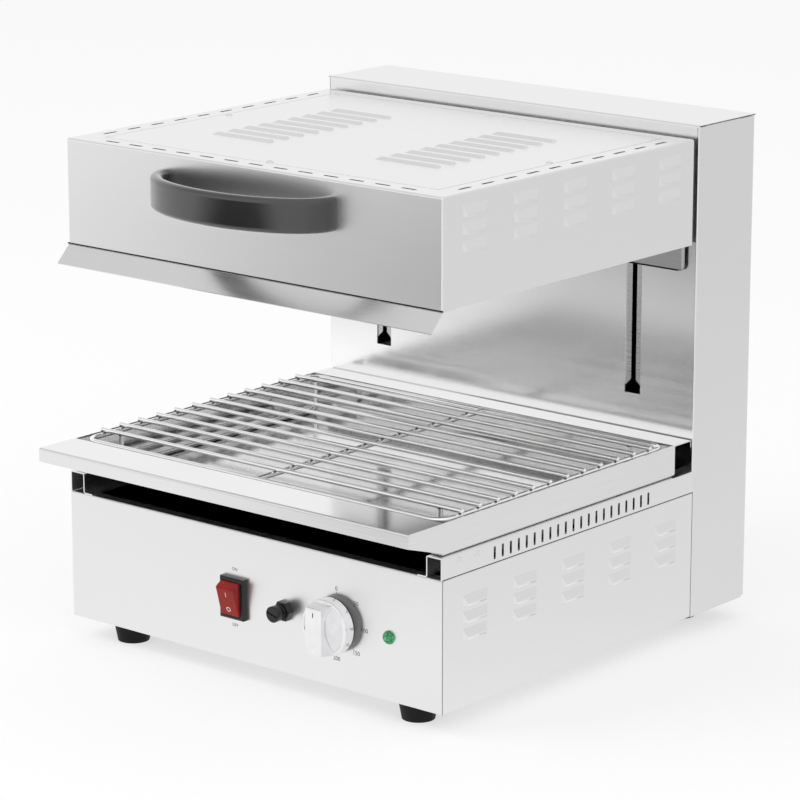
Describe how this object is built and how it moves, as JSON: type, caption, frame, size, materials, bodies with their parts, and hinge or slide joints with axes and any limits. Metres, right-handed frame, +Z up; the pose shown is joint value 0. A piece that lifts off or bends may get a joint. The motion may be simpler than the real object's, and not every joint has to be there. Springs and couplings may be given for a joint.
{
  "type": "salamander grill",
  "caption": "Countertop salamander grill: stainless heated head with a bow handle that slides up and down a rear column above a wire rack and pull-out drip tray, with controls on the base.",
  "frame": {"origin": "on the worktop under the middle of the whole grill's box, level with the soles of the feet", "axes": "+X to the right seen from the front, +Y from the front to the rear column, +Z up"},
  "size_m": [0.4552, 0.523, 0.49],
  "materials": {
    "casing_steel": "fine horizontal brushing, satin stainless sheet",
    "inner_steel": "plain galvanised sheet",
    "tray_steel": "satin stainless sheet",
    "rack_wire": "bright plated wire",
    "reflector": "bright sheet, a little heat tinted",
    "element_sheath": "oxidised dark sheath",
    "mineral_wool": "matt fibre blanket",
    "handle_black": "fine moulded grain, satin black",
    "fixings": "bright zinc plated steel",
    "wire_rope": "stranded steel",
    "foot_rubber": "matt black",
    "weight_iron": "as cast",
    "nylon": "natural nylon",
    "control_black": "semi gloss black",
    "rocker_red": "glossy translucent red",
    "knob_metal": "polished metal",
    "knob_black": "satin black",
    "lamp_green": "tinted moulded lens",
    "control_body": "dark moulded plastic"
  },
  "bodies": {
    "chassis": {"base_front": "casing_steel", "base_side_left": "casing_steel", "base_side_right": "casing_steel", "base_floor": "inner_steel", "base_deck": "inner_steel", "rail_left": "casing_steel", "rail_right": "casing_steel", "rail_screws": "fixings", "feet": "foot_rubber", "foot_studs": "fixings", "column_wrap": "casing_steel", "column_cap": "casing_steel", "column_back": "casing_steel", "back_screws": "fixings", "cable_gland": "control_black", "guide_left": "inner_steel", "guide_right": "inner_steel", "pulley_beam": "inner_steel", "pulley_pins": "fixings", "rope_wraps": "wire_rope", "lift_ropes": "wire_rope", "fall_ropes": "wire_rope", "switch_frame": "control_black", "reset_collar": "control_black", "reset_trip": "control_body", "regulator": "control_body", "pilot_lens": "lamp_green", "pilot_body": "control_body", "terminal_block": "control_body"},
    "head": {"head_casing": "casing_steel", "head_cover": "casing_steel", "cover_screws": "fixings", "visor": "casing_steel", "head_liner": "reflector", "heating_elements": "element_sheath", "element_hangers": "inner_steel", "insulation": "mineral_wool", "carriage_plate": "inner_steel", "arm_left": "inner_steel", "arm_right": "inner_steel", "roller_pins": "fixings", "handle": "handle_black", "handle_screws": "fixings"},
    "counterweight": {"counterweight": "weight_iron"},
    "tray": {"drip_tray": "tray_steel"},
    "rack": {"wire_rack": "rack_wire", "rack_rods": "rack_wire"},
    "rocker": {"switch_rocker": "rocker_red"},
    "reset": {"reset_button": "control_black"},
    "heat_knob": {"knob": "knob_metal", "knob_skirt": "knob_black", "knob_spindle": "fixings"},
    "pulley_left": {"pulley_left": "nylon"},
    "rollers_left_lower": {"rollers_left_lower": "nylon"},
    "rollers_left_upper": {"rollers_left_upper": "nylon"},
    "pulley_right": {"pulley_right": "nylon"},
    "rollers_right_lower": {"rollers_right_lower": "nylon"},
    "rollers_right_upper": {"rollers_right_upper": "nylon"}
  },
  "joints": [
    {"name": "head_lift", "type": "slide", "parent": "chassis", "child": "head", "axis": [0, 0, 1], "range_m": [-0.125, 0], "deforming": ["lift_ropes"]},
    {"name": "weight_lift", "type": "slide", "parent": "chassis", "child": "counterweight", "axis": [0, 0, 1], "range_m": [0, 0.125], "deforming": ["fall_ropes"]},
    {"name": "tray_slide", "type": "slide", "parent": "chassis", "child": "tray", "axis": [0, -1, 0], "range_m": [0, 0.25]},
    {"name": "rack_lift", "type": "slide", "parent": "tray", "child": "rack", "axis": [0, 0, 1], "range_m": [0, 0.035]},
    {"name": "rocker_tilt", "type": "hinge", "parent": "chassis", "child": "rocker", "pos_m": [-0.0175, -0.2095, 0.0795], "axis": [1, 0, 0], "range_deg": [-30, 0]},
    {"name": "reset_press", "type": "slide", "parent": "chassis", "child": "reset", "axis": [0, 1, 0], "range_m": [0, 0.002], "stiffness_N_per_m": 400, "springref_m": -0.002},
    {"name": "knob_turn", "type": "hinge", "parent": "chassis", "child": "heat_knob", "pos_m": [0.1045, -0.2075, 0.0795], "axis": [0, 1, 0], "range_deg": [0, 270]},
    {"name": "pulley_left_spin", "type": "hinge", "parent": "chassis", "child": "pulley_left", "pos_m": [-0.1335, 0.1757, 0.446], "axis": [0, 1, 0], "range_deg": [-360, 0]},
    {"name": "rollers_left_lower_spin", "type": "hinge", "parent": "head", "child": "rollers_left_lower", "pos_m": [-0.1535, 0.1757, 0.366], "axis": [1, 0, 0], "range_deg": [0, 710]},
    {"name": "rollers_left_upper_spin", "type": "hinge", "parent": "head", "child": "rollers_left_upper", "pos_m": [-0.1535, 0.1757, 0.39], "axis": [1, 0, 0], "range_deg": [-710, 0]},
    {"name": "pulley_right_spin", "type": "hinge", "parent": "chassis", "child": "pulley_right", "pos_m": [0.1335, 0.1757, 0.446], "axis": [0, 1, 0], "range_deg": [0, 360]},
    {"name": "rollers_right_lower_spin", "type": "hinge", "parent": "head", "child": "rollers_right_lower", "pos_m": [0.1535, 0.1757, 0.366], "axis": [1, 0, 0], "range_deg": [0, 710]},
    {"name": "rollers_right_upper_spin", "type": "hinge", "parent": "head", "child": "rollers_right_upper", "pos_m": [0.1535, 0.1757, 0.39], "axis": [1, 0, 0], "range_deg": [-710, 0]}
  ],
  "couplings": [
    {"joint": "weight_lift", "follows": "head_lift", "ratio": -1},
    {"joint": "pulley_left_spin", "follows": "head_lift", "rad_per_m": 50},
    {"joint": "rollers_left_lower_spin", "follows": "head_lift", "rad_per_m": -98.039},
    {"joint": "rollers_left_upper_spin", "follows": "head_lift", "rad_per_m": 98.039},
    {"joint": "pulley_right_spin", "follows": "head_lift", "rad_per_m": -50},
    {"joint": "rollers_right_lower_spin", "follows": "head_lift", "rad_per_m": -98.039},
    {"joint": "rollers_right_upper_spin", "follows": "head_lift", "rad_per_m": 98.039}
  ]
}
